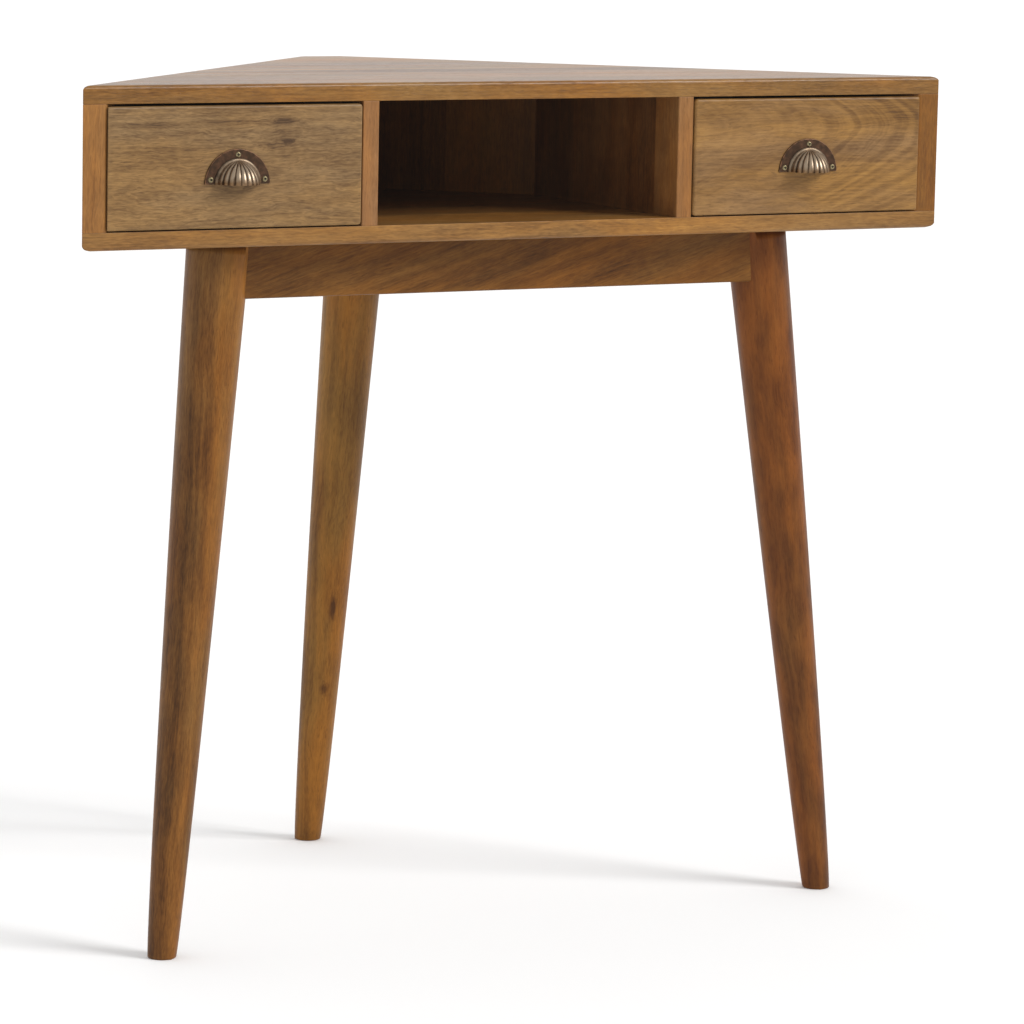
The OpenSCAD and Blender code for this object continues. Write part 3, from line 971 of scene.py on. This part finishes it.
def build_legs():
    style = look(
        rings=0.16, gap=0.010, pith=(0.03, 0.035), taper=0.012, sway=0.012, sway_length=0.3,
        streaks=0.12, fibres=0.12, flecks=0.20, blotches=0.28, blotch_length=0.09, warmth=(1.14, 0.98, 0.72),
        slope=0.25, shine=0.42, gloss=0.16)
    left = {**style, "seed": 0.2, "heart": (0.010, 0.21)}
    build_leg("front_left_leg", (0.196, 0.079, 0.0134), left)
    right = {
        **style, "seed": 0.9, "flecks": 0.14, "heart": (0.0, -0.14), "blotches": 0.42, "blotch_length": 0.05,
        "slope": 0.12}
    build_leg("front_right_leg", (0.142, 0.0466, 0.0073), right)
    knots = ((-0.074, 0.007, 0.020, 0.005, 0.48), (-0.158, 0.005, 0.010, 0.006, 0.42))
    back = {**style, "seed": 1.7, "heart": (-0.004, 0.03), "knots": knots}
    build_leg("back_leg", (0.225, 0.0955, 0.0140), back)


# ---- Aprons and braces ----

APRON_COLOUR = (0.163, 0.064, 0.0100)


def bar(start, end, width, low_z, high_z):
    """An upright bar between two points in plan."""
    run = (end - start).normalized()
    flat = UP.cross(run) * width / 2
    ends = [Vector((p.x, p.y, z)) + s * flat for p in (start, end) for s in (-1, 1) for z in (low_z, high_z)]
    return hull(ends)


def build_aprons():
    low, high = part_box("front_apron")
    width, mid_z = high.y - low.y, (low.z + high.z) / 2
    ends = {side: Leg(f"front_{side}_leg").axis_at(mid_z) for side in ("left", "right")}
    rear = Leg("back_leg").axis_at(mid_z)
    inset = 10 * MM
    slant = Vector((1, 0, 0.30))
    style = look(
        rings=0.18, gap=0.008, pith=(0.25, 0.12), streaks=0.16, taper=0.02, fibres=0.17, flecks=0.2,
        blotches=0.34, blotch_length=0.1, gloss=0.15, seed=0.5)

    line_y = (low.y + high.y) / 2
    start = Vector((ends["left"].x + inset, line_y, 0))
    end = Vector((ends["right"].x - inset, line_y, 0))
    body = bar(start, end, width, low.z, high.z)
    rounds = ((2.5 * MM, None, DOWN),)
    front = soften("front_apron_rail", body, rounds)
    material = wood("front_apron", APRON_COLOUR, style, middle("front_apron"), slant, UP)
    finish_piece(front, "root", material, "apron_wood", "front_apron")

    for side, axis_point in ends.items():
        node = side + "_apron"
        run = (rear - axis_point).normalized()
        body = bar(axis_point + run * inset, rear - run * inset, width, low.z, high.z)
        rail = soften(node + "_rail", body, rounds)
        material = wood(node, APRON_COLOUR, {**style, "seed": axis_point.x}, middle(node), run, UP)
        finish_piece(rail, "root", material, "apron_wood", node)


def build_braces():
    grains = {"front_left": Vector((1, 1, 0)), "front_right": Vector((-1, 1, 0)), "back": RIGHT}
    style = {**RAW, "seed": 0.6}
    for place, grain in grains.items():
        wooden_board(place + "_brace", RAW_COLOUR, style, grain, UP, ((1 * MM, None, DOWN),))


# ---- CAD nodes that stay as they are, with better materials ----


def keep_nodes():
    dowel = wood("carcass_dowels", RAW_COLOUR, RAW, Vector((0, 0, 0)), UP, RIGHT)
    zinc = zinc_metal()
    kept = {"carcass_dowels": dowel}
    for node in ("leg_bolts", "leg_washers", "leg_nuts", "frame_screws"):
        kept[node] = zinc
    for node, material in kept.items():
        mesh = frame["nodes"][node].data
        mesh.materials.clear()
        mesh.materials.append(material)


build_studio()
build_box()
shell, flange, brass = shell_metal(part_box("left_pull_cup")[0].z), flange_metal(), brass_metal()
for drawer_side in ("left", "right"):
    build_drawer_front(drawer_side)
    build_drawer_box(drawer_side)
    build_shell(drawer_side, shell)
    build_flange(drawer_side, flange)
    build_pull_screws(drawer_side, brass)
build_legs()
build_aprons()
build_braces()
keep_nodes()
